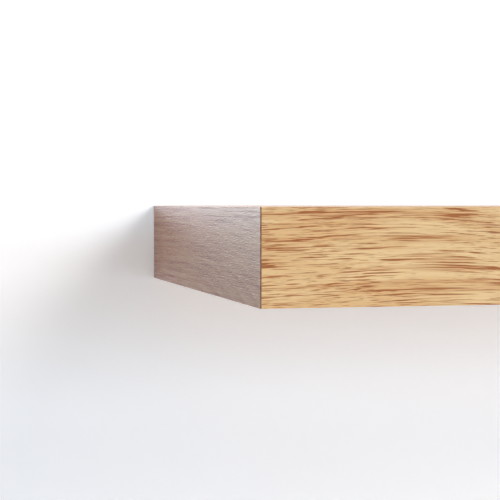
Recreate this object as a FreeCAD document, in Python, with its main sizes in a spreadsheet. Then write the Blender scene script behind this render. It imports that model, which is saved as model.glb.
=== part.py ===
"""Floating wall shelf: a hollow-core board that slides onto the rods of a concealed wall bracket.

Millimetres. +X runs along the wall, the wall is the plane y = 0 and the room is towards -Y, +Z is up.
The origin is the middle of the bracket bar's back face, at half the board's thickness.
"""
import FreeCAD, Part
import os

import Sketcher

SIZES = {
    # board
    "shelf_length": 600.0,
    "shelf_depth": 235.0,
    "shelf_thickness": 38.0,
    "laminate_thickness": 0.5,
    "band_thickness": 0.5,
    "skin_thickness": 3.0,
    # frame inside the board
    "front_rail_width": 25.0,
    "end_rail_width": 25.0,
    "back_rail_width": 40.0,
    "block_width": 60.0,
    # paper honeycomb: cell pitch across the flats, and the wall between two cells
    "cell_pitch": 22.0,
    "paper_thickness": 0.4,
    # staples across the four corners of the frame, above and below
    "staple_width": 12.0,
    "staple_leg": 10.0,
    "staple_wire": 1.0,
    # bracket bar and its gaps to the board
    "bar_thickness": 4.0,
    "bar_gap_side": 3.0,
    "bar_gap_end": 5.0,
    "bar_gap_front": 0.5,
    # rods, measured from the bar's front face
    "rod_diameter": 12.0,
    "rod_length": 150.0,
    "rod_chamfer": 1.5,
    "rod_from_end": 120.0,
    "spigot_shoulder": 1.0,
    "weld_leg": 3.0,
    # bores for the rods
    "bore_clearance": 0.3,
    "bore_end_clearance": 5.0,
    "weld_clearance": 0.5,
    # wall screws
    "screw_count": 4,
    "screw_from_bar_end": 19.5,
    "screw_diameter": 5.0,
    "screw_neck_diameter": 3.7,
    "screw_thread_gap": 0.5,
    "screw_length": 50.0,
    "screw_point": 6.0,
    "screw_head_diameter": 9.5,
    "screw_clearance": 0.25,
    "drive_width": 1.4,
    "drive_span": 5.0,
    "drive_depth": 1.6,
}

# Heights, and distances from the wall, as expressions on the sheet
CORE_HEIGHT = "(sizes.shelf_thickness - 2 * (sizes.laminate_thickness + sizes.skin_thickness))"
INNER_LENGTH = "(sizes.shelf_length - 2 * sizes.band_thickness)"
INNER_DEPTH = "(sizes.shelf_depth - sizes.band_thickness)"
END_RAIL_INNER = f"({INNER_LENGTH} / 2 - sizes.end_rail_width)"
BACK_RAIL_BACK = "(sizes.bar_thickness + sizes.bar_gap_front)"
BACK_RAIL_FRONT = f"({BACK_RAIL_BACK} + sizes.back_rail_width)"
FRONT_RAIL_BACK = f"({INNER_DEPTH} - sizes.front_rail_width)"
BAY_DEPTH = f"({FRONT_RAIL_BACK} - {BACK_RAIL_FRONT})"
BAY_CENTRE = f"(-({FRONT_RAIL_BACK} + {BACK_RAIL_FRONT}) / 2)"

BAR_LENGTH = f"(2 * {END_RAIL_INNER} - 2 * sizes.bar_gap_end)"
BAR_HEIGHT = f"({CORE_HEIGHT} - 2 * sizes.bar_gap_side)"
SCREW_SPAN = f"({BAR_LENGTH} - 2 * sizes.screw_from_bar_end)"
ROD_X = "(sizes.shelf_length / 2 - sizes.rod_from_end)"
ROD_RADIUS = "(sizes.rod_diameter / 2)"
SPIGOT_RADIUS = f"({ROD_RADIUS} - sizes.spigot_shoulder)"
BORE_RADIUS = f"({ROD_RADIUS} + sizes.bore_clearance)"
BORE_END = "(sizes.bar_thickness + sizes.rod_length + sizes.bore_end_clearance)"
WELD_RECESS_RADIUS = f"({ROD_RADIUS} + sizes.weld_leg + sizes.weld_clearance)"

SIDES = {"left": -1, "right": 1}

doc = FreeCAD.newDocument("floating_wall_shelf")
nodes = []


# ---------------------------------------------------------------- helpers

def make_sheet():
    """Puts the driving dimensions in a spreadsheet, one alias for each."""
    sheet = doc.addObject("Spreadsheet::Sheet", "sizes")
    for row, (name, size) in enumerate(SIZES.items(), start=1):
        sheet.set(f"A{row}", name)
        sheet.set(f"B{row}", str(size))
        sheet.setAlias(f"B{row}", name)
    doc.recompute()


def new_body(label):
    """An empty body that will be exported as the node of this name."""
    body = doc.addObject("PartDesign::Body", label)
    body.Label = label
    nodes.append(body)
    return body


def place(body, x="0", y="0", z="0", turn=0):
    """Binds a body's position to the sheet; turn is a fixed angle in degrees about +Z."""
    body.Placement = FreeCAD.Placement(FreeCAD.Vector(), FreeCAD.Rotation(FreeCAD.Vector(0, 0, 1), turn))
    for axis, expression in (("x", x), ("y", y), ("z", z)):
        body.setExpression(f"Placement.Base.{axis}", expression)


def origin_item(body, role):
    """A plane or an axis of a body's own origin, such as XY_Plane or X_Axis."""
    return next(item for item in body.Origin.OriginFeatures if item.Role == role)


def new_sketch(body, name, role, offset="0"):
    """A sketch on a plane of the body's origin, shifted along the plane's normal."""
    sketch = body.newObject("Sketcher::SketchObject", f"{body.Name}_{name}")
    sketch.AttachmentSupport = [(origin_item(body, role), "")]
    sketch.MapMode = "FlatFace"
    sketch.setExpression("AttachmentOffset.Base.z", offset)
    return sketch


def dimension(sketch, name, constraint, expression):
    """Adds a named driving constraint and binds it to the sheet."""
    index = sketch.addConstraint(constraint)
    sketch.renameConstraint(index, name)
    sketch.setExpression(f"Constraints.{name}", expression)


def polygon(sketch, corners, name="p"):
    """A closed outline whose corners are pairs of expressions, measured from the sketch's origin."""
    first = sketch.GeometryCount
    count = len(corners)
    guesses = [[sketch.evalExpression(part) for part in corner] for corner in corners]
    for index, (x, y) in enumerate(guesses):
        following = guesses[(index + 1) % count]
        start = FreeCAD.Vector(x, y, 0)
        sketch.addGeometry(Part.LineSegment(start, FreeCAD.Vector(*following, 0)), False)
    for index in range(count):
        following = first + (index + 1) % count
        sketch.addConstraint(Sketcher.Constraint("Coincident", first + index, 2, following, 1))
    for index, (x, y) in enumerate(corners):
        for kind, axis, expression, guess in (
            ("DistanceX", "x", x, guesses[index][0]),
            ("DistanceY", "y", y, guesses[index][1]),
        ):
            constraint = Sketcher.Constraint(kind, -1, 1, first + index, 1, guess)
            dimension(sketch, f"{name}{index}_{axis}", constraint, expression)


def rectangle(sketch, width, height, name="r"):
    """A rectangle centred on the sketch's origin."""
    right, top = f"{width} / 2", f"{height} / 2"
    left, low = f"-{width} / 2", f"-{height} / 2"
    polygon(sketch, [(left, low), (right, low), (right, top), (left, top)], name)


def circle(sketch, radius, x="0", y="0", name="c"):
    """A circle whose radius and centre are bound to the sheet."""
    centre = FreeCAD.Vector(sketch.evalExpression(x), sketch.evalExpression(y), 0)
    guess = sketch.evalExpression(radius)
    index = sketch.addGeometry(Part.Circle(centre, FreeCAD.Vector(0, 0, 1), guess), False)
    dimension(sketch, f"{name}_x", Sketcher.Constraint("DistanceX", -1, 1, index, 3, centre.x), x)
    dimension(sketch, f"{name}_y", Sketcher.Constraint("DistanceY", -1, 1, index, 3, centre.y), y)
    dimension(sketch, f"{name}_radius", Sketcher.Constraint("Radius", index, guess), radius)


def pad(body, sketch, length, symmetric=False):
    """Extrudes a sketch along its normal, or half each way."""
    feature = body.newObject("PartDesign::Pad", f"{body.Name}_pad")
    feature.Profile = sketch
    feature.setExpression("Length", length)
    feature.SideType = "Symmetric" if symmetric else "One side"
    return feature


def pocket(body, sketch, length, symmetric=False, reverse=False):
    """Cuts a sketch into the body, against its normal unless reversed."""
    feature = body.newObject("PartDesign::Pocket", f"{body.Name}_pocket")
    feature.Profile = sketch
    feature.setExpression("Length", length)
    feature.SideType = "Symmetric" if symmetric else "One side"
    feature.Reversed = reverse
    return feature


def revolve(body, sketch, role):
    """Turns a sketch once round an axis of the body's origin."""
    feature = body.newObject("PartDesign::Revolution", f"{body.Name}_revolution")
    feature.Profile = sketch
    feature.ReferenceAxis = (origin_item(body, role), [""])
    feature.Angle = 360
    return feature


def row_pattern(body, originals, role, extent, count):
    """Repeats features in a row along an axis of the body's origin."""
    feature = body.newObject("PartDesign::LinearPattern", f"{body.Name}_pattern")
    feature.Originals = originals
    feature.Direction = (origin_item(body, role), [""])
    feature.Mode = "Extent"
    feature.setExpression("Length", extent)
    feature.setExpression("Occurrences", count)
    body.Tip = feature
    return feature


def repeat_rows(pattern, body, role, extent, count):
    """Turns a row pattern into a grid, by repeating its row along a second axis."""
    pattern.Direction2 = (origin_item(body, role), [""])
    pattern.Mode2 = "Extent"
    pattern.setExpression("Length2", extent)
    pattern.setExpression("Occurrences2", count)


def drill(body, sketch, diameter, depth, cut_diameter=None):
    """Drills a sketch's circles against its normal: a blind hole, or a through one with depth None."""
    feature = body.newObject("PartDesign::Hole", f"{body.Name}_hole")
    feature.Profile = sketch
    doc.recompute()
    feature.ThreadType = "None"
    feature.setExpression("Diameter", diameter)
    if depth is None:
        feature.DepthType = "ThroughAll"
    else:
        feature.DepthType = "Dimension"
        feature.setExpression("Depth", depth)
        feature.DrillPoint = "Angled"
    if cut_diameter is not None:
        feature.HoleCutType = "Countersink"
        feature.HoleCutCustomValues = True
        feature.HoleCutCountersinkAngle = 90
        feature.setExpression("HoleCutDiameter", cut_diameter)
    return feature


def board(label, size, centre):
    """A plain rectangular piece: length, depth and height, and the place of its middle."""
    body = new_body(label)
    sketch = new_sketch(body, "outline", "XY_Plane")
    rectangle(sketch, size[0], size[1])
    pad(body, sketch, size[2], symmetric=True)
    place(body, *centre)
    return body


# ---------------------------------------------------------------- the board

def make_faces():
    """Skins and decor laminates above and below the core."""
    panel_z = f"({CORE_HEIGHT} + sizes.skin_thickness) / 2"
    laminate_z = f"({CORE_HEIGHT} + sizes.laminate_thickness) / 2 + sizes.skin_thickness"
    for side, sign in (("top", ""), ("bottom", "-")):
        middle = f"-{INNER_DEPTH} / 2"
        size = (INNER_LENGTH, INNER_DEPTH, "sizes.skin_thickness")
        board(f"{side}_panel", size, ("0", middle, f"{sign}({panel_z})"))
        size = (INNER_LENGTH, INNER_DEPTH, "sizes.laminate_thickness")
        board(f"{side}_laminate", size, ("0", middle, f"{sign}({laminate_z})"))


def make_bands():
    """Decor strips: the front one lies between the two end ones, whose cut edges show at the front."""
    front_y = "sizes.band_thickness / 2 - sizes.shelf_depth"
    size = (INNER_LENGTH, "sizes.band_thickness", "sizes.shelf_thickness")
    board("front_edge_band", size, ("0", front_y, "0"))
    for side, sign in SIDES.items():
        size = ("sizes.band_thickness", "sizes.shelf_depth", "sizes.shelf_thickness")
        x = f"{sign} * (sizes.shelf_length - sizes.band_thickness) / 2"
        board(f"{side}_edge_band", size, (x, "-sizes.shelf_depth / 2", "0"))


def make_frame():
    """End rails from front to back, with the front rail and the bored back rail between them."""
    between = f"(2 * {END_RAIL_INNER})"
    for side, sign in SIDES.items():
        size = ("sizes.end_rail_width", INNER_DEPTH, CORE_HEIGHT)
        x = f"{sign} * ({END_RAIL_INNER} + sizes.end_rail_width / 2)"
        board(f"{side}_end_rail", size, (x, f"-{INNER_DEPTH} / 2", "0"))
    y = f"-{FRONT_RAIL_BACK} - sizes.front_rail_width / 2"
    board("front_rail", (between, "sizes.front_rail_width", CORE_HEIGHT), ("0", y, "0"))

    y = f"-{BACK_RAIL_BACK} - sizes.back_rail_width / 2"
    rail = board("back_rail", (between, "sizes.back_rail_width", CORE_HEIGHT), ("0", y, "0"))
    mouths = new_sketch(rail, "mouths", "XZ_Plane", "-sizes.back_rail_width / 2")
    for side, sign in SIDES.items():
        circle(mouths, BORE_RADIUS, x=f"{sign} * {ROD_X}", name=side)
    bores = drill(rail, mouths, f"2 * {BORE_RADIUS}", None, f"2 * {WELD_RECESS_RADIUS}")
    bores.Reversed = True


def make_rod_blocks():
    """Solid blocks from the back rail to the front rail, with a blind bore for each rod."""
    for side, sign in SIDES.items():
        size = ("sizes.block_width", BAY_DEPTH, CORE_HEIGHT)
        block = board(f"rod_block_{side}", size, (f"{sign} * {ROD_X}", BAY_CENTRE, "0"))
        mouth = new_sketch(block, "mouth", "XZ_Plane", f"-{BAY_DEPTH} / 2")
        circle(mouth, BORE_RADIUS)
        bore = drill(block, mouth, f"2 * {BORE_RADIUS}", f"{BORE_END} - {BACK_RAIL_FRONT}")
        bore.Reversed = True


def make_honeycomb():
    """Paper core for the three bays: a slab that is cut through by staggered six-sided cells."""
    block_inner = f"({ROD_X} - sizes.block_width / 2)"
    block_outer = f"({ROD_X} + sizes.block_width / 2)"
    end_width = f"({END_RAIL_INNER} - {block_outer})"
    end_centre = f"({END_RAIL_INNER} + {block_outer}) / 2"
    bays = {
        "left": (end_width, f"-{end_centre}"),
        "middle": (f"(2 * {block_inner})", "0"),
        "right": (end_width, end_centre),
    }
    for name, (width, x) in bays.items():
        slab = board(f"honeycomb_{name}", (width, BAY_DEPTH, CORE_HEIGHT), (x, BAY_CENTRE, "0"))
        add_cells(slab, width)


def add_cells(slab, width):
    """Cuts the cells of one honeycomb slab, from its left front corner to its far sides."""
    row_step = "(sizes.cell_pitch * sqrt(3) / 2)"
    reach = "((sizes.cell_pitch - sizes.paper_thickness) / sqrt(3))"
    cells = new_sketch(slab, "cells", "XY_Plane")
    for row in (0, 1):
        centre_x = f"(-{width} / 2 + {row} * sizes.cell_pitch / 2)"
        centre_y = f"(-{BAY_DEPTH} / 2 + {row} * {row_step})"
        corners = []
        for corner in range(6):
            angle = 30 + 60 * corner
            x = f"{centre_x} + {reach} * cos({angle} deg)"
            y = f"{centre_y} + {reach} * sin({angle} deg)"
            corners.append((x, y))
        polygon(cells, corners, name=f"cell{row}_")
    cut = pocket(slab, cells, CORE_HEIGHT, symmetric=True)
    column_gaps = f"floor({width} / sizes.cell_pitch + 1 / 2)"
    row_gaps = f"floor(({BAY_DEPTH} + {reach}) / (2 * {row_step}))"
    across = f"{column_gaps} * sizes.cell_pitch"
    pattern = row_pattern(slab, [cut], "X_Axis", across, f"{column_gaps} + 1")
    repeat_rows(pattern, slab, "Y_Axis", f"{row_gaps} * 2 * {row_step}", f"{row_gaps} + 1")


def make_staples():
    """Wire staples across the joints of the frame, two at each corner, driven flush."""
    body = new_body("frame_staples")
    front_y = f"(-{FRONT_RAIL_BACK} - sizes.front_rail_width / 2)"
    back_y = f"(-{BACK_RAIL_BACK} - sizes.back_rail_width / 2)"
    sketch = new_sketch(body, "outline", "XZ_Plane")
    outer = "(sizes.staple_width / 2)"
    inner = f"({outer} - sizes.staple_wire)"
    for name, sign in (("top", ""), ("bottom", "-")):
        crown = f"{sign}{CORE_HEIGHT} / 2"
        under = f"{sign}({CORE_HEIGHT} / 2 - sizes.staple_wire)"
        point = f"{sign}({CORE_HEIGHT} / 2 - sizes.staple_leg)"
        left = f"-{END_RAIL_INNER}"
        corners = [
            (f"{left} - {outer}", point),
            (f"{left} - {outer}", crown),
            (f"{left} + {outer}", crown),
            (f"{left} + {outer}", point),
            (f"{left} + {inner}", point),
            (f"{left} + {inner}", under),
            (f"{left} - {inner}", under),
            (f"{left} - {inner}", point),
        ]
        polygon(sketch, corners, name)
    wire = pad(body, sketch, "sizes.staple_wire", symmetric=True)
    pattern = row_pattern(body, [wire], "X_Axis", f"2 * {END_RAIL_INNER}", "2")
    repeat_rows(pattern, body, "Y_Axis", f"{back_y} - {front_y}", "2")
    place(body, y=front_y)


# ---------------------------------------------------------------- the bracket

def make_bar():
    """Flat bar with countersunk screw holes and plain holes for the rods' spigots."""
    body = new_body("wall_rail")
    outline = new_sketch(body, "outline", "XZ_Plane")
    rectangle(outline, BAR_LENGTH, BAR_HEIGHT)
    pad(body, outline, "sizes.bar_thickness")

    spigots = new_sketch(body, "spigots", "XZ_Plane")
    for side, sign in SIDES.items():
        circle(spigots, SPIGOT_RADIUS, x=f"{sign} * {ROD_X}", name=side)
    pocket(body, spigots, "sizes.bar_thickness", reverse=True)

    screws = new_sketch(body, "screws", "XZ_Plane", "sizes.bar_thickness")
    hole_radius = "(sizes.screw_diameter / 2 + sizes.screw_clearance)"
    head_radius = "(sizes.screw_head_diameter / 2 + sizes.screw_clearance)"
    circle(screws, hole_radius, x=f"-{SCREW_SPAN} / 2")
    hole = drill(body, screws, f"2 * {hole_radius}", None, f"2 * {head_radius}")
    row_pattern(body, [hole], "X_Axis", SCREW_SPAN, "sizes.screw_count")


def make_rods():
    """Rods with a spigot in the bar and a chamfered tip; each axis points into the room."""
    start = "sizes.bar_thickness"
    end = f"({start} + sizes.rod_length)"
    for side, sign in SIDES.items():
        body = new_body(f"support_rod_{side}")
        sketch = new_sketch(body, "half_section", "XY_Plane")
        corners = [
            ("0", "0"),
            ("0", SPIGOT_RADIUS),
            (start, SPIGOT_RADIUS),
            (start, ROD_RADIUS),
            (f"{end} - sizes.rod_chamfer", ROD_RADIUS),
            (end, f"{ROD_RADIUS} - sizes.rod_chamfer"),
            (end, "0"),
        ]
        polygon(sketch, corners)
        revolve(body, sketch, "X_Axis")
        place(body, x=f"{sign} * {ROD_X}", turn=-90)


def make_welds():
    """The fillet weld round the foot of each rod, on the bar's front face."""
    body = new_body("rod_welds")
    sketch = new_sketch(body, "half_section", "XY_Plane")
    corners = [
        ("sizes.bar_thickness", ROD_RADIUS),
        ("sizes.bar_thickness", f"{ROD_RADIUS} + sizes.weld_leg"),
        ("sizes.bar_thickness + sizes.weld_leg", ROD_RADIUS),
    ]
    polygon(sketch, corners)
    ring = revolve(body, sketch, "X_Axis")
    row_pattern(body, [ring], "Y_Axis", f"2 * {ROD_X}", "2")
    place(body, x=f"-{ROD_X}", turn=-90)


def make_screws():
    """Countersunk screws with a cross drive: heads flush in the bar, threads in the wall."""
    body = new_body("wall_screws")
    sketch = new_sketch(body, "half_section", "XY_Plane")
    head = "(sizes.screw_head_diameter / 2)"
    neck = "(sizes.screw_neck_diameter / 2)"
    thread = "(sizes.screw_diameter / 2)"
    thread_start = "(sizes.bar_thickness + sizes.screw_thread_gap)"
    corners = [
        ("0", "0"),
        ("0", head),
        (f"{head} - {neck}", neck),
        (thread_start, neck),
        (thread_start, thread),
        ("sizes.screw_length - sizes.screw_point", thread),
        ("sizes.screw_length", "0"),
    ]
    polygon(sketch, corners)
    screw = revolve(body, sketch, "X_Axis")
    cross = new_sketch(body, "drive", "YZ_Plane")
    arm = "(sizes.drive_width / 2)"
    tip = "(sizes.drive_span / 2)"
    quarter = [(tip, f"-{arm}"), (tip, arm), (arm, arm)]
    corners = []
    for turn in range(4):
        corners += quarter
        quarter = [(f"-({y})", x) for x, y in quarter]
    polygon(cross, corners)
    drive = pocket(body, cross, "sizes.drive_depth", reverse=True)
    row_pattern(body, [screw, drive], "Y_Axis", SCREW_SPAN, "sizes.screw_count")
    place(body, x=f"{SCREW_SPAN} / 2", y="-sizes.bar_thickness", turn=90)


# ---------------------------------------------------------------- build and export

def check_model():
    """Stops if a feature failed or a piece has no sound shape."""
    for item in doc.Objects:
        if {"Invalid", "Error"} & set(item.State):
            raise RuntimeError(f"{item.Label} did not build: {item.State}")
    for body in nodes:
        if body.Shape.isNull() or not body.Shape.isValid():
            raise RuntimeError(f"{body.Label} has no valid shape")


def export_nodes():
    """Writes one STEP file for each piece."""
    os.makedirs("parts", exist_ok=True)
    for body in nodes:
        body.Shape.exportStep(f"parts/{body.Label}.step")


make_sheet()
make_faces()
make_bands()
make_frame()
make_rod_blocks()
make_honeycomb()
make_staples()
make_bar()
make_rods()
make_welds()
make_screws()
doc.recompute()
check_model()
export_nodes()
for piece in nodes:
    print(f"{piece.Label}: {len(piece.Shape.Solids)} solid(s), {piece.Shape.Volume / 1000:.2f} cm3")
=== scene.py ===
"""Looks of the floating wall shelf: oak decor on a hollow board, and its zinc-plated wall bracket."""

import math

import bmesh
import bpy
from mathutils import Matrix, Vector


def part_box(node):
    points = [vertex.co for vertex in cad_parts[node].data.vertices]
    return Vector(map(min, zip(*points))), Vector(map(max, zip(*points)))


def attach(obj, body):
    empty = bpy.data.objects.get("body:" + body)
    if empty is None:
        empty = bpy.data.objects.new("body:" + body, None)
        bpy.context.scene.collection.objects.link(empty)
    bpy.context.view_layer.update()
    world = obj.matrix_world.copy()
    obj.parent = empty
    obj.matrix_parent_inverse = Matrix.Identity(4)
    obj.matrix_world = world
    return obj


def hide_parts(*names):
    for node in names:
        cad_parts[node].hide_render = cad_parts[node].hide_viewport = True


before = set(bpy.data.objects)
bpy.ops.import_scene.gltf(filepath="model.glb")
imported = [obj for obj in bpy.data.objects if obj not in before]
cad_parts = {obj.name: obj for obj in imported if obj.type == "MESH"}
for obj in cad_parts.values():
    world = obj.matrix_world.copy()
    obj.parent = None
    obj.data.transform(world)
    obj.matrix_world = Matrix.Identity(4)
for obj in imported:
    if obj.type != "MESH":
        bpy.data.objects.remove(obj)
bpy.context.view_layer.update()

MM = 0.001
WHITE = (1.0, 1.0, 1.0, 1.0)
AXES = {"X": 0, "Y": 1, "Z": 2}

# the camera, placed by a fit to the shelf's outline
CAMERA_PLACE = (-0.4302, -0.7647, 0.0204)
CAMERA_TURN = (88.167, 0.0, -13.41)          # degrees
CAMERA_LENS = 105.7                          # millimetres
SENSOR_WIDTH = 36.0                          # millimetres
NEAREST_SEEN = 0.01

# the floor and the sky
STAGE_REACH = 4.0
FLOOR_Z = -0.24
FLOOR_COLOUR = (0.80, 0.80, 0.81, 1.0)
FLOOR_FADE = (0.5, 2.2)                      # how far off it begins to fade to white, and where it is white
FLOOR_LIFT = (0.12, 1.0)                     # light added to it at those two, as the camera sees it
SKY_LIGHT = 0.08                             # the white sky's strength as a light
SKY_MIRRORED = 0.70                          # its strength in reflections

# the wall
WALL_GAP = 0.1 * MM                          # between the wall rail's back and the backdrop wall
WALL_COLOUR = (0.94, 0.94, 0.945, 1.0)
WALL_MIRRORED_PAINTED_SHADE = (0.77, 0.715, 0.775, 1.0)    # its colour in reflections: darker and pinker, painted shade on the wall
WALL_LIFT_NEAR = (0.25, 0.24, 0.243, 1.0)    # light added to it near the shelf, as the camera sees it: less and warmer, painted shade round the shelf
WALL_LIFT_FAR = (0.35, 0.385, 0.43, 1.0)     # the same, away from the shelf
LIFT_REACH = (5 * MM, 75 * MM)               # above and below the board: where the far light is reached
PAINTED_WALL_GLOW = (0.73, 0.84, 0.92)               # painted light that reflections see on the wall above the shelf's shadow, whose edge is painted too
GLOW_RISE = (10 * MM, 36 * MM)               # at the board's end: how high that begins, and where it is full
GLOW_SLOPE = 0.25                            # how fast both heights come down further out: the slope of the painted shadow edge
PAINTED_WALL_BOUNCE = (0.165, 0.095, 0.095, 1.0)     # painted light that they see on the wall beside the oak's ends, standing in for the light the ends throw on it
BOUNCE_FADE = (8 * MM, 55 * MM)              # from the end: where that begins to fade, and where it is gone
PATCH_RAY = 0.03                             # rays shorter than this pass the wall behind the board


def srgb(red, green, blue):
    """A linear colour from the 0 to 255 values of a screen colour."""
    return tuple(((part / 255 + 0.055) / 1.055) ** 2.4 for part in (red, green, blue)) + (1.0,)


# ---------------------------------------------------------------- node trees

class Nodes:
    """A node tree, with a short call for each kind of node that the finishes use."""

    def __init__(self, tree):
        self.tree = tree

    def put(self, socket, value):
        """Links an input to a node's output, or sets it to a constant."""
        if isinstance(value, bpy.types.NodeSocket):
            self.tree.links.new(value, socket)
        else:
            socket.default_value = value

    def add(self, kind, settings=None, **inputs):
        """A node with its settings and inputs; an underscore in an input's name stands for a space."""
        node = self.tree.nodes.new(kind)
        for name, value in (settings or {}).items():
            setattr(node, name, value)
        for name, value in inputs.items():
            self.put(node.inputs[name.replace("_", " ")], value)
        return node

    def math(self, operation, first, second=0.0, third=0.0):
        """One operation on up to three numbers."""
        node = self.add("ShaderNodeMath", {"operation": operation})
        for socket, value in zip(node.inputs, (first, second, third)):
            self.put(socket, value)
        return node.outputs[0]

    def vector(self, operation, first, second=(0.0, 0.0, 0.0), scale=1.0):
        """One operation on vectors: a Vector Math node's scale is its input 3."""
        node = self.add("ShaderNodeVectorMath", {"operation": operation})
        for index, value in ((0, first), (1, second), (3, scale)):
            self.put(node.inputs[index], value)
        return node.outputs[0]

    def length(self, vector):
        """The length of a vector."""
        node = self.add("ShaderNodeVectorMath", {"operation": "LENGTH"}, Vector=vector)
        return node.outputs["Value"]

    def combine(self, x, y, z=0.0):
        """A vector made of its coordinates."""
        return self.add("ShaderNodeCombineXYZ", X=x, Y=y, Z=z).outputs[0]

    def parts(self, vector):
        """The three coordinates of a vector."""
        return self.add("ShaderNodeSeparateXYZ", Vector=vector).outputs

    def step(self, value, low, high):
        """0 at low, 1 at high, and a smooth step between; low may be the larger one."""
        settings = {"interpolation_type": "SMOOTHSTEP", "clamp": True}
        node = self.add("ShaderNodeMapRange", settings, Value=value, From_Min=low, From_Max=high)
        return node.outputs["Result"]

    def span(self, value, low, high):
        """Maps 0 to 1 onto low to high."""
        node = self.add("ShaderNodeMapRange", {"clamp": True}, Value=value, To_Min=low, To_Max=high)
        return node.outputs["Result"]

    def mix(self, factor, first, second, blend="MIX"):
        """Two colours blended: a Mix node's colour sockets are its inputs 6 and 7 and its output 2."""
        node = self.add("ShaderNodeMix", {"data_type": "RGBA", "blend_type": blend})
        for index, value in ((0, factor), (6, first), (7, second)):
            self.put(node.inputs[index], value)
        return node.outputs[2]

    def noise(self, vector, detail, roughness=0.5):
        """Noise from about 0 to 1, whose cells are one unit of the vector wide."""
        node = self.add("ShaderNodeTexNoise", Vector=vector, Scale=1.0, Detail=detail, Roughness=roughness)
        return node.outputs["Fac"]


class Shader(Nodes):
    """One material's node tree, with what all the finishes need of it."""

    def __init__(self, name):
        self.material = bpy.data.materials.new(name)
        self.material.use_nodes = True
        super().__init__(self.material.node_tree)
        self.surface = self.tree.nodes["Principled BSDF"]
        self.output = self.tree.nodes["Material Output"]

    def place(self, shift=(0.0, 0.0, 0.0)):
        """The point on the object in millimetres, shifted so that two finishes differ."""
        where = self.add("ShaderNodeTexCoord").outputs["Object"]
        return self.vector("ADD", self.vector("SCALE", where, scale=1 / MM), shift)

    def facing(self, axis):
        """How squarely the surface faces along one of the object's axes, from 0 to 1."""
        normal = self.add("ShaderNodeTexCoord").outputs["Normal"]
        return self.math("ABSOLUTE", self.parts(normal)[axis])

    def bump(self, height, depth, strength):
        """Turns a height of 0 to 1 into relief of the given depth in metres."""
        node = self.add("ShaderNodeBump", Height=height, Distance=depth, Strength=strength)
        for name in ("Normal", "Coat Normal"):
            self.put(self.surface.inputs[name], node.outputs["Normal"])

    def finish(self, colour, roughness, metallic=0.0, coat=0.0, coat_roughness=0.2):
        """Sets what the surface is like and returns the material."""
        self.put(self.surface.inputs["Base Color"], colour)
        self.put(self.surface.inputs["Roughness"], roughness)
        self.surface.inputs["Metallic"].default_value = metallic
        self.surface.inputs["Coat Weight"].default_value = coat
        self.surface.inputs["Coat Roughness"].default_value = coat_roughness
        return self.material


# ---------------------------------------------------------------- oak decor

OAK_GROUND = srgb(232, 200, 148)
OAK_CLOUD = srgb(223, 184, 130)
OAK_TAN = srgb(201, 142, 83)
OAK_STROKE = srgb(158, 86, 34)
OAK_PORE = srgb(116, 64, 28)
# the sheets' dark core, shown on their cut edges and made darker still as painted shade in the seams
CUT_EDGE = srgb(74, 18, 6)
EMBOSS_DEPTH = 0.06 * MM


class Grain:
    """The grain of one oak decor: its fibres, and noise drawn out along them. Sizes are in millimetres.

    along and across are the axes along and across the fibres. shift moves the whole pattern, sway is
    how far the fibres swing from straight, and long stretches the streaks.
    """

    def __init__(self, shader, along, across, shift, sway, long):
        self.shader = shader
        self.along = AXES[along]
        self.across = AXES[across]
        self.shift = shift
        self.long = long
        self.point = shader.place(shift)
        self.fibre = self.swing(sway)

    def cells(self, source, length, width, detail):
        """Noise whose cells are length along the grain and width across it."""
        scale = [1 / width] * 3
        scale[self.along] = 1 / length
        return self.shader.noise(self.shader.vector("MULTIPLY", source, tuple(scale)), detail)

    def streaks(self, length, width, detail):
        """Cells that follow the fibres."""
        return self.cells(self.fibre, length * self.long, width, detail)

    def swing(self, sway):
        """The point moved sideways, because the fibres sweep slowly and wander a little."""
        sweep = self.cells(self.point, 120 * self.long, 70, 0)
        sweep = self.shader.math("MULTIPLY_ADD", sweep, 2 * sway, -sway)
        wander = self.cells(self.point, 50 * self.long, 10, 1)
        wander = self.shader.math("MULTIPLY_ADD", wander, 0.6, -0.3)
        aside = [self.shader.math("ADD", sweep, wander)] * 3
        aside[self.along] = 0.0
        return self.shader.vector("ADD", self.point, self.shader.combine(*aside))

    def rings(self, heart, stretch, pitch):
        """Growth rings, as a value that climbs from 0 to 1 across each of them.

        They are ellipses round the heart, given along and across the grain. They are stretch times as
        long as wide, about pitch apart, and disturbed by slow noise.
        """
        shader = self.shader
        parts = shader.parts(self.fibre)
        run = shader.math("SUBTRACT", parts[self.along], heart[0] + self.shift[self.along])
        off = shader.math("SUBTRACT", parts[self.across], heart[1] + self.shift[self.across])
        radius = shader.length(shader.combine(shader.math("MULTIPLY", run, 1 / stretch), off))
        unrest = self.cells(self.point, 130, 17, 2)
        rings = shader.math("MULTIPLY_ADD", radius, 1 / pitch, unrest)
        return shader.step(shader.math("FRACT", rings), 0.15, 1.0)


def oak_ground(shader, grain, crowd):
    """Pale ground with darker clouds, and a soft tan where strokes crowd."""
    cloud = shader.step(grain.streaks(60, 9, 2), 0.42, 0.66)
    colour = shader.mix(cloud, OAK_GROUND, OAK_CLOUD)
    band = shader.math("MULTIPLY", shader.step(crowd, 0.46, 0.76), 0.45)
    return shader.mix(band, colour, OAK_TAN)


def oak_marks(shader, grain, crowd):
    """Rim and core of the lens-shaped strokes, then fine strokes and open pores. They gather in crowds."""
    gather = shader.math("MULTIPLY_ADD", crowd, 0.26, -0.13)
    stroke = shader.math("ADD", grain.streaks(36, 0.52, 3), gather)
    rim = shader.step(stroke, 0.53, 0.59)
    core = shader.step(stroke, 0.58, 0.65)
    fine = shader.step(shader.math("ADD", grain.streaks(20, 0.32, 1), gather), 0.58, 0.68)
    pore = shader.math("MULTIPLY_ADD", core, 0.12, grain.cells(grain.fibre, 4.5, 0.2, 0))
    return rim, core, fine, shader.step(pore, 0.68, 0.78)


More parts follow.
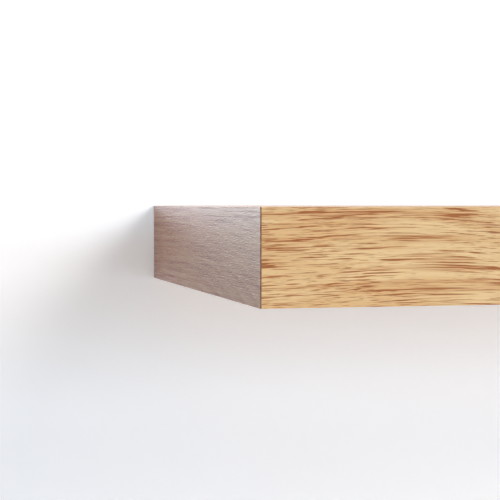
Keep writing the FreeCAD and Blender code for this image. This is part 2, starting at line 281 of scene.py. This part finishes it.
def oak_shade(shader, grain, tint):
    """What the colour is multiplied by: the tint, uneven from hair to hair and over the sheet."""
    hair = shader.span(grain.streaks(12, 0.28, 1), 0.90, 1.09)
    # a broad tone over the sheet: random, but on the left end placed as painted light, lighter toward the
    # back
    tone_and_painted_light = shader.span(grain.cells(grain.point, 260, 90, 0), 0.88, 1.12)
    return shader.vector("SCALE", tint, scale=shader.math("MULTIPLY", hair, tone_and_painted_light))


def oak_height(shader, grain, pressed, fleck):
    """The embossed sheet's height: strokes and pores pressed into a fibrous ground, flecks raised."""
    rough_fibre = shader.math("MULTIPLY", grain.cells(grain.fibre, 5, 0.35, 2), 0.35)
    height = shader.math("MULTIPLY_ADD", pressed, -0.8, rough_fibre)
    if not fleck:
        return height
    raised = shader.step(grain.cells(grain.fibre, 5, 0.5, 0), 0.56, 0.70)
    return shader.math("MULTIPLY_ADD", raised, fleck, height)


def oak(name, along, across, face, heart, stretch, pitch, shift, figure=0.10, sway=7.5, long=1.0, depth=1.0,
        tint=(1.0, 1.0, 1.0), relief=0.55, fleck=0.0, coat=0.35, coat_roughness=0.20):
    """Oak decor with a satin lacquer, on the grain and the growth rings that Grain describes.

    face is the axis that the decor faces: the sheet's narrow sides show its dark core, darkened further as
    painted shade in the seam between sheets. figure is how much the rings show, depth how dark the marks are,
    and tint what the colour is multiplied by.
    relief is how deep the sheet is embossed, and fleck how far short flecks stand out of it.
    """
    shader = Shader(name)
    grain = Grain(shader, along, across, shift, sway, long)
    crowd = shader.math("MULTIPLY_ADD", grain.rings(heart, stretch, pitch), figure, grain.streaks(58, 2.0, 2))
    rim, core, fine, pore = oak_marks(shader, grain, crowd)
    colour = oak_ground(shader, grain, crowd)
    for mark, weight, dye in (
        (rim, 0.44, OAK_TAN),
        (core, 0.92, OAK_STROKE),
        (fine, 0.60, OAK_STROKE),
        (pore, 0.30, OAK_PORE),
    ):
        colour = shader.mix(shader.math("MULTIPLY", mark, weight * depth), colour, dye)
    colour = shader.mix(1.0, colour, oak_shade(shader, grain, tint), blend="MULTIPLY")
    # the narrow sides show the dark core, darkened further as painted shade in the seams between sheets
    cut = shader.step(shader.facing(face), 0.34, 0.18)
    colour = shader.mix(cut, colour, CUT_EDGE)
    pressed = shader.math("MAXIMUM", shader.math("MULTIPLY", core, 0.45), pore)
    shader.bump(oak_height(shader, grain, pressed, fleck), EMBOSS_DEPTH, strength=relief)
    roughness = shader.span(shader.math("MAXIMUM", pressed, fine), 0.40, 0.62)
    return shader.finish(colour, roughness, coat=coat, coat_roughness=coat_roughness)


# ---------------------------------------------------------------- the other materials

def fibreboard():
    """Thin raw fibreboard: fine felted fibres, flatter than wide, in lighter and darker patches."""
    shader = Shader("fibreboard_edge")
    point = shader.place((31.0, 7.0, 3.0))
    felt = shader.noise(shader.vector("MULTIPLY", point, (1.6, 1.6, 4.5)), 5, roughness=0.7)
    patch = shader.noise(shader.vector("SCALE", point, scale=0.06), 2)
    colour = shader.mix(felt, srgb(128, 96, 66), srgb(186, 152, 112))
    colour = shader.mix(shader.span(patch, 0.0, 0.35), colour, srgb(112, 82, 56))
    shader.bump(felt, 0.12 * MM, strength=0.6)
    return shader.finish(colour, shader.span(felt, 0.80, 0.95))


def chipboard():
    """Sawn chipboard: pale and brown chips lying at random, with small voids between them."""
    shader = Shader("chipboard_sawn")
    point = shader.place((5.0, 11.0, 17.0))
    bend = shader.noise(shader.vector("SCALE", point, scale=0.5), 2)
    warp = shader.vector("SCALE", shader.combine(bend, bend, bend), scale=2.4)
    point = shader.vector("ADD", point, warp)
    spread = shader.vector("MULTIPLY", point, (0.34, 0.42, 0.95))
    chips = shader.add("ShaderNodeTexVoronoi", Vector=spread, Scale=1.0)
    tint = shader.add("ShaderNodeSeparateColor", Color=chips.outputs["Color"]).outputs[0]
    grain = shader.noise(shader.vector("MULTIPLY", point, (0.9, 0.9, 7.0)), 3)
    colour = shader.mix(tint, srgb(150, 112, 72), srgb(222, 190, 142))
    colour = shader.mix(shader.span(grain, 0.0, 0.45), colour, srgb(132, 94, 58))
    void = shader.step(chips.outputs["Distance"], 0.62, 0.86)
    # painted shade: the voids between the chips are darkened
    colour = shader.mix(shader.math("MULTIPLY", void, 0.75), colour, srgb(74, 50, 32))
    height = shader.math("MULTIPLY_ADD", void, -1.0, shader.math("MULTIPLY", grain, 0.3))
    shader.bump(height, 0.35 * MM, strength=0.7)
    return shader.finish(colour, 0.88)


def kraft_paper():
    """Brown honeycomb paper with short fibres and faint cockling."""
    shader = Shader("honeycomb_kraft")
    point = shader.place()
    fibre = shader.noise(shader.vector("SCALE", point, scale=1.4), 5, roughness=0.75)
    cockle = shader.noise(shader.vector("SCALE", point, scale=0.12), 2)
    colour = shader.mix(fibre, srgb(158, 122, 82), srgb(196, 162, 118))
    shader.bump(shader.math("ADD", fibre, cockle), 0.10 * MM, strength=0.5)
    return shader.finish(colour, 0.9)


def plated_steel(name, tint, dark, stretch, roughness=(0.28, 0.48), depth=0.02):
    """Zinc-plated steel with dull spots, and with drawing lines along the axis whose stretch is small.

    roughness is its range over the surface, and depth the lines' depth in millimetres.
    """
    shader = Shader(name)
    point = shader.place((3.0, 1.0, 2.0))
    lines = shader.noise(shader.vector("MULTIPLY", point, stretch), 3, roughness=0.6)
    cloud = shader.noise(shader.vector("SCALE", point, scale=0.11), 4, roughness=0.6)
    speck = shader.step(shader.noise(shader.vector("SCALE", point, scale=1.9), 1), 0.60, 0.74)
    colour = shader.mix(shader.step(cloud, 0.32, 0.68), tint, dark)
    colour = shader.mix(shader.math("MULTIPLY", speck, 0.35), colour, dark)
    uneven = shader.math("MULTIPLY_ADD", lines, 0.5, shader.math("MULTIPLY", cloud, 0.5))
    shader.bump(lines, depth * MM, strength=0.6)
    return shader.finish(colour, shader.span(uneven, *roughness), metallic=1.0)


# ---------------------------------------------------------------- mesh building

def new_piece(name, mesh, material, body, node):
    """Puts a mesh in the scene with its material, riding on a body in place of a CAD node."""
    piece = bpy.data.objects.new(name, mesh)
    bpy.context.scene.collection.objects.link(piece)
    mesh.materials.append(material)
    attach(piece, body)
    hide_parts(node)


def form_mesh(form, name):
    """The mesh of a finished bmesh, which is freed."""
    mesh = bpy.data.meshes.new(name)
    form.to_mesh(mesh)
    form.free()
    return mesh


def add_skin(form, rings, capped):
    """Adds a skin over rings of points to a bmesh: its two ends are capped, or else joined."""
    count, width = len(rings), len(rings[0])
    vertices = [[form.verts.new(point) for point in ring] for ring in rings]
    for row in range(count - 1 if capped else count):
        here, above = vertices[row], vertices[(row + 1) % count]
        for column in range(width):
            after = (column + 1) % width
            form.faces.new((here[column], here[after], above[after], above[column]))
    if capped:
        form.faces.new(vertices[0][::-1])
        form.faces.new(vertices[-1])


def new_fitting(form, name, material, node, sharp):
    """A piece of the bracket made from a bmesh, with its faces turned outwards and shaded smooth.

    Edges that turn by more than sharp, in degrees, stay sharp.
    """
    bmesh.ops.recalc_face_normals(form, faces=form.faces[:])
    mesh = form_mesh(form, name)
    mesh.polygons.foreach_set("use_smooth", [True] * len(mesh.polygons))
    mesh.set_sharp_from_angle(angle=math.radians(sharp))
    new_piece(name, mesh, material, "wall_bracket", node)


# ---------------------------------------------------------------- the board

BOARD_ARRIS = 0.10 * MM


def sheet_mesh(name, node):
    """A board the size of a CAD node, with its arrises eased."""
    low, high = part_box(node)
    form = bmesh.new()
    bmesh.ops.create_cube(form, size=1.0)
    for vertex in form.verts:
        unit = vertex.co + Vector((0.5, 0.5, 0.5))
        vertex.co = Vector(low[i] + unit[i] * (high[i] - low[i]) for i in range(3))
    bmesh.ops.bevel(form, geom=form.edges[:], offset=BOARD_ARRIS, segments=2, profile=0.5, affect="EDGES")
    return form_mesh(form, name)


def board_materials():
    """The decor of each sheet, by the node that it stands for; the two ends have a look of their own, partly
    painted shade.
    """
    front = {"along": "X", "across": "Z", "face": "Y", "stretch": 14, "pitch": 9, "sway": 5.0}
    ends = {
        "along": "Y", "across": "Z", "face": "X", "stretch": 6, "pitch": 3.5, "sway": 2.5,
        # painted shade: the tint makes the ends darker and redder than the same oak on the front, as their
        # shaded faces look
        "figure": 0.22, "long": 2.4, "depth": 0.65, "tint": (0.81, 0.745, 0.725),
        "relief": 1.0, "fleck": 0.8, "coat": 1.0, "coat_roughness": 0.12,
    }
    flat = {"along": "X", "across": "Y", "face": "Z", "stretch": 11, "pitch": 12, "figure": 0.16}
    return {
        "front_edge_band": oak("oak_front", heart=(-230, -70), shift=(413, 0, 97), **front),
        # painted light: this shift places the broad tone so that the left end is lighter toward the back
        "left_edge_band": oak("oak_left_end", heart=(-55, -34), shift=(78, 613, 577), **ends),
        "right_edge_band": oak("oak_right_end", heart=(-150, -30), shift=(90, 512, 7), **ends),
        "top_laminate": oak("oak_top", heart=(-90, -130), shift=(77, 0, 0), **flat),
        "bottom_laminate": oak("oak_bottom", heart=(140, -90), shift=(901, 0, 0), **flat),
    }


def make_boards():
    """The board's five decor sheets, each as large as its CAD node."""
    for node, material in board_materials().items():
        name = f"{node}_decor"
        new_piece(name, sheet_mesh(name, node), material, "shelf_board", node)


# ---------------------------------------------------------------- the bracket

SCREW_COUNT = 4
SCREW_SEGMENTS = 40
THREAD_CORE, THREAD_OUTER = 1.85 * MM, 2.5 * MM
THREAD_PITCH, THREAD_STEP = 2.4 * MM, 0.2 * MM
THREAD_GAP = 0.5 * MM                        # from the rail's back to the start of the thread
THREAD_FLANK = 5.0                           # how steep its flanks are
POINT_LENGTH = 6.0 * MM
POINT_TIP = 0.02                             # the tip's share of the full thickness
HEAD_EASE = 0.12 * MM
RECESS_DEPTH, RECESS_LIP = 1.6 * MM, 0.02 * MM
RECESS_CROSS = (1.4 * MM, 5.0 * MM)          # width and span of the cross recess
RECESS_MOUTH = (1.7 * MM, 5.3 * MM)          # the same, where it meets the head's face
RECESS_FLOOR = 0.55                          # its floor's share of that width and span

WELD_ROOT = 0.2 * MM                         # how far the bead reaches into the rod
WELD_SEGMENTS, WELD_STEPS = 208, 8           # round the rod, and along the bead's section
WELD_RIPPLES = 26
RIPPLE_DEPTH = 0.14                          # as a share of the bead
WAVE_DEPTH = 0.10                            # the same, of the slow waves


def cross_radius(angle, width, span):
    """Distance from the centre of a cross recess to its outline, in the direction of angle."""
    arm = min(abs(math.cos(angle)), abs(math.sin(angle)))
    reach = max(abs(math.cos(angle)), abs(math.sin(angle)))
    if arm * span <= reach * width:
        return span / 2 / reach
    return width / 2 / arm


def screw_ring(x, y, radius_at):
    """A ring of points round a screw's axis; radius_at gives the radius at an angle."""
    angles = [2 * math.pi * k / SCREW_SEGMENTS for k in range(SCREW_SEGMENTS)]
    return [(x + radius_at(a) * math.cos(a), y, radius_at(a) * math.sin(a)) for a in angles]


def screw_head(x, start, head):
    """Rings of a countersunk head, from the narrow floor of its recess over its face to the neck."""
    return [
        screw_ring(x, start + RECESS_DEPTH, lambda a: RECESS_FLOOR * cross_radius(a, *RECESS_CROSS)),
        screw_ring(x, start + RECESS_LIP, lambda a: cross_radius(a, *RECESS_CROSS)),
        screw_ring(x, start, lambda a: cross_radius(a, *RECESS_MOUTH)),
        screw_ring(x, start, lambda a: head - HEAD_EASE),
        screw_ring(x, start + HEAD_EASE, lambda a: head),
        screw_ring(x, start + head - THREAD_CORE, lambda a: THREAD_CORE),
    ]


def screw_thread(x, end):
    """Rings of the thread, from just behind the rail to the screw's point."""
    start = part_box("wall_rail")[1][1] + THREAD_GAP
    rings = []
    for index in range(int((end - start) / THREAD_STEP) + 1):
        y = start + index * THREAD_STEP
        taper = min(1.0, max(POINT_TIP, (end - y) / POINT_LENGTH))

        def radius(a, y=y, taper=taper):
            turn = ((y - start) / THREAD_PITCH - a / (2 * math.pi)) % 1.0
            ridge = max(0.0, 1.0 - abs(turn - 0.5) * THREAD_FLANK)
            return taper * (THREAD_CORE + (THREAD_OUTER - THREAD_CORE) * ridge)

        rings.append(screw_ring(x, y, radius))
    return rings


def make_screws():
    """Countersunk wood screws, spread along the rail as the CAD ones are."""
    material = plated_steel("screw_yellow_zinc", srgb(214, 190, 120), srgb(176, 150, 92), (1.2, 1.2, 1.2),
                            roughness=(0.22, 0.42), depth=0.01)
    low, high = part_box("wall_screws")
    head = (high[2] - low[2]) / 2
    first, last = low[0] + head, high[0] - head
    form = bmesh.new()
    for index in range(SCREW_COUNT):
        x = first + (last - first) * index / (SCREW_COUNT - 1)
        add_skin(form, screw_head(x, low[1], head) + screw_thread(x, high[1]), capped=True)
    new_fitting(form, "wall_screws_threaded", material, "wall_screws", sharp=40)


def weld_section(x, angle, foot, leg, inner):
    """A section through a weld bead, at an angle round its rod: from the rod down to the rail and back.

    The bead swells with each ripple, and a little with six slow waves round the rod.
    """
    phase = (angle * WELD_RIPPLES / (2 * math.pi)) % 1.0
    swell = 1.0 - RIPPLE_DEPTH + RIPPLE_DEPTH * math.sin(math.pi * phase) ** 0.6
    swell *= 1.0 - WAVE_DEPTH * math.sin(angle * 3 + 0.6) ** 2
    root = inner - WELD_ROOT
    section = []
    for step in range(WELD_STEPS + 1):
        share = math.pi / 2 * step / WELD_STEPS
        reach = root + (leg + WELD_ROOT) * swell * math.sin(share) ** 1.25
        rise = leg * swell * math.cos(share) ** 1.25
        section.append((x + reach * math.cos(angle), foot - rise, reach * math.sin(angle)))
    section.append((x + root * math.cos(angle), foot, root * math.sin(angle)))
    return section


def make_welds():
    """Rippled fillet weld round the foot of each rod."""
    material = plated_steel("weld_bead_plated", srgb(150, 150, 152), srgb(96, 94, 94), (0.8, 0.8, 0.8),
                            roughness=(0.40, 0.62), depth=0.06)
    low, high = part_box("rod_welds")
    outer = (high[2] - low[2]) / 2
    foot = high[1]
    leg = foot - low[1]
    angles = [2 * math.pi * k / WELD_SEGMENTS for k in range(WELD_SEGMENTS)]
    form = bmesh.new()
    for x in (low[0] + outer, high[0] - outer):
        sections = [weld_section(x, angle, foot, leg, outer - leg) for angle in angles]
        add_skin(form, sections, capped=False)
    new_fitting(form, "rod_welds_rippled", material, "rod_welds", sharp=50)


def finish_cad_nodes():
    """Gives each CAD node that stays its own procedural finish, by how its name starts."""
    bar = plated_steel("bar_zinc", srgb(196, 198, 201), srgb(176, 178, 182), (0.03, 1.5, 2.2))
    rod = plated_steel("rod_zinc", srgb(204, 206, 209), srgb(182, 184, 188), (2.2, 0.05, 2.2),
                       roughness=(0.20, 0.36))
    wire = plated_steel("staple_galvanised", srgb(190, 192, 195), srgb(140, 142, 146), (1.0, 1.0, 1.0))
    skin, chips, paper = fibreboard(), chipboard(), kraft_paper()
    finishes = {
        "wall_rail": bar,
        "support_rod": rod,
        "frame_staples": wire,
        "top_panel": skin,
        "bottom_panel": skin,
        "front_rail": chips,
        "back_rail": chips,
        "left_end_rail": chips,
        "right_end_rail": chips,
        "rod_block": chips,
        "honeycomb": paper,
    }
    for name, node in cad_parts.items():
        for start, material in finishes.items():
            if name.startswith(start):
                node.data.materials.clear()
                node.data.materials.append(material)


# ---------------------------------------------------------------- the stage

def wall_lift_with_painted_shade(shader, height, half_height):
    """The light added to the wall for the camera: less and warmer near the board than above and below it, as
    painted shade.
    """
    above = shader.step(height, -half_height / 2, half_height + LIFT_REACH[0])
    below = shader.step(height, -half_height, -half_height - LIFT_REACH[1])
    return shader.mix(shader.math("MAXIMUM", above, below), WALL_LIFT_NEAR, WALL_LIFT_FAR)


def painted_wall_reflection_light(shader, aside, height, half_length):
    """Painted light added to the wall for reflections: a glow above a painted shadow edge, and painted light
    from the oak.
    """
    low, high = (GLOW_SLOPE * half_length + rise for rise in GLOW_RISE)
    lit = shader.step(shader.math("MULTIPLY_ADD", aside, GLOW_SLOPE, height), low, high)
    glow = shader.vector("SCALE", PAINTED_WALL_GLOW, scale=lit)
    beside = shader.step(aside, half_length + BOUNCE_FADE[1], half_length + BOUNCE_FADE[0])
    return shader.mix(beside, glow, PAINTED_WALL_BOUNCE, blend="ADD")


def behind_board(shader, aside, height, half_length, half_height, ray_length):
    """1 where a short ray meets the patch of the wall that the board covers, and 0 elsewhere."""
    in_length = shader.math("LESS_THAN", aside, half_length)
    in_height = shader.math("LESS_THAN", shader.math("ABSOLUTE", height), half_height)
    short = shader.math("LESS_THAN", ray_length, PATCH_RAY)
    return shader.math("MULTIPLY", shader.math("MULTIPLY", in_length, in_height), short)


def wall_material():
    """White wall that is clear from behind, so that the back of the shelf can be looked at.

    Short rays also pass the patch behind the board, so light from behind reaches the board's back.
    """
    half_length, _, half_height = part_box("top_laminate")[1]
    shader = Shader("stage_wall")
    path = shader.add("ShaderNodeLightPath").outputs
    geometry = shader.add("ShaderNodeNewGeometry").outputs
    across, _, height = shader.parts(geometry["Position"])
    aside = shader.math("ABSOLUTE", across)
    # reflections see the wall darker and pinker: painted shade
    shader.finish(shader.mix(path["Is Glossy Ray"], WALL_COLOUR, WALL_MIRRORED_PAINTED_SHADE), 0.9)
    shader.surface.inputs["Specular IOR Level"].default_value = 0.1
    # painted shade on the wall round the board, as the camera sees it
    seen = wall_lift_with_painted_shade(shader, height, half_height)
    # painted light on the wall, seen only in reflections: a glow and the oak's bounce
    painted_mirrored_light = painted_wall_reflection_light(shader, aside, height, half_length)
    light = shader.mix(path["Is Glossy Ray"], seen, painted_mirrored_light)
    shader.put(shader.surface.inputs["Emission Color"], light)
    shown = shader.math("MAXIMUM", path["Is Camera Ray"], path["Is Glossy Ray"])
    shader.put(shader.surface.inputs["Emission Strength"], shown)
    patch = behind_board(shader, aside, height, half_length, half_height, path["Ray Length"])
    clear = shader.math("MAXIMUM", patch, geometry["Backfacing"])
    blend = shader.add("ShaderNodeMixShader", Fac=clear)
    shader.put(blend.inputs[1], shader.surface.outputs[0])
    shader.put(blend.inputs[2], shader.add("ShaderNodeBsdfTransparent").outputs[0])
    shader.put(shader.output.inputs["Surface"], blend.outputs[0])
    return shader.material


def floor_material():
    """Pale floor that the camera sees fade into the white of the background."""
    shader = Shader("stage_floor")
    shader.finish(FLOOR_COLOUR, 0.9)
    shader.surface.inputs["Emission Color"].default_value = WHITE
    away = shader.length(shader.add("ShaderNodeNewGeometry").outputs["Position"])
    fade = shader.span(shader.step(away, *FLOOR_FADE), *FLOOR_LIFT)
    path = shader.add("ShaderNodeLightPath").outputs
    lift = shader.math("MULTIPLY", path["Is Camera Ray"], fade)
    shader.put(shader.surface.inputs["Emission Strength"], lift)
    return shader.material


def backdrop_plane(name, corners, material):
    """A flat plane of the stage, which isn't part of the object."""
    mesh = bpy.data.meshes.new(name)
    mesh.from_pydata(corners, [], [(0, 1, 2, 3)])
    mesh.update()
    plane = bpy.data.objects.new(name, mesh)
    bpy.context.scene.collection.objects.link(plane)
    mesh.materials.append(material)


def make_stage():
    """A wall at the back of the shelf and a floor below it, both far wider than the view."""
    reach, floor, wall = STAGE_REACH, FLOOR_Z, WALL_GAP
    corners = [(-reach, wall, floor), (reach, wall, floor), (reach, wall, reach), (-reach, wall, reach)]
    backdrop_plane("wall", corners, wall_material())
    corners = [(-reach, -reach, floor), (reach, -reach, floor), (reach, reach, floor), (-reach, reach, floor)]
    backdrop_plane("floor", corners, floor_material())


def area_light(name, place, size, power):
    """A soft lamp aimed at the shelf; only its light shows, not the lamp itself."""
    data = bpy.data.lights.new(name, "AREA")
    data.shape = "RECTANGLE"
    data.size, data.size_y = size
    data.energy = power
    lamp = bpy.data.objects.new(name, data)
    bpy.context.scene.collection.objects.link(lamp)
    lamp.location = place
    lamp.rotation_euler = (-Vector(place)).to_track_quat("-Z", "Y").to_euler()
    lamp.visible_camera = False
    lamp.visible_glossy = False


def make_lights():
    """A soft key from the upper right, a broad fill from the front, and a lamp behind for the back."""
    area_light("key", place=(1.9, -2.3, 1.7), size=(1.6, 1.6), power=84.0)
    area_light("fill", place=(0.7, -3.0, 0.1), size=(2.4, 1.2), power=23.0)
    area_light("behind", place=(-1.2, 1.8, 1.2), size=(1.5, 1.5), power=40.0)


def make_sky():
    """A sky that is white for the camera, less bright in reflections, and faint as a light."""
    world = bpy.data.worlds.new("studio")
    bpy.context.scene.world = world
    world.use_nodes = True
    nodes = Nodes(world.node_tree)
    sky = nodes.tree.nodes["Background"]
    sky.inputs["Color"].default_value = WHITE
    path = nodes.add("ShaderNodeLightPath").outputs
    seen = nodes.math("MULTIPLY_ADD", path["Is Glossy Ray"], SKY_MIRRORED, path["Is Camera Ray"])
    nodes.put(sky.inputs["Strength"], nodes.math("MAXIMUM", seen, SKY_LIGHT))


def make_camera():
    """The camera that sees the shelf as the photograph does."""
    data = bpy.data.cameras.new("camera")
    data.lens = CAMERA_LENS
    data.sensor_width = SENSOR_WIDTH
    data.sensor_fit = "HORIZONTAL"
    data.clip_start = NEAREST_SEEN
    camera = bpy.data.objects.new("camera", data)
    bpy.context.scene.collection.objects.link(camera)
    camera.location = CAMERA_PLACE
    camera.rotation_euler = [math.radians(angle) for angle in CAMERA_TURN]
    bpy.context.scene.camera = camera


make_camera()
make_stage()
make_lights()
make_sky()
finish_cad_nodes()
make_boards()
make_screws()
make_welds()
bpy.context.scene.view_settings.view_transform = "Standard"
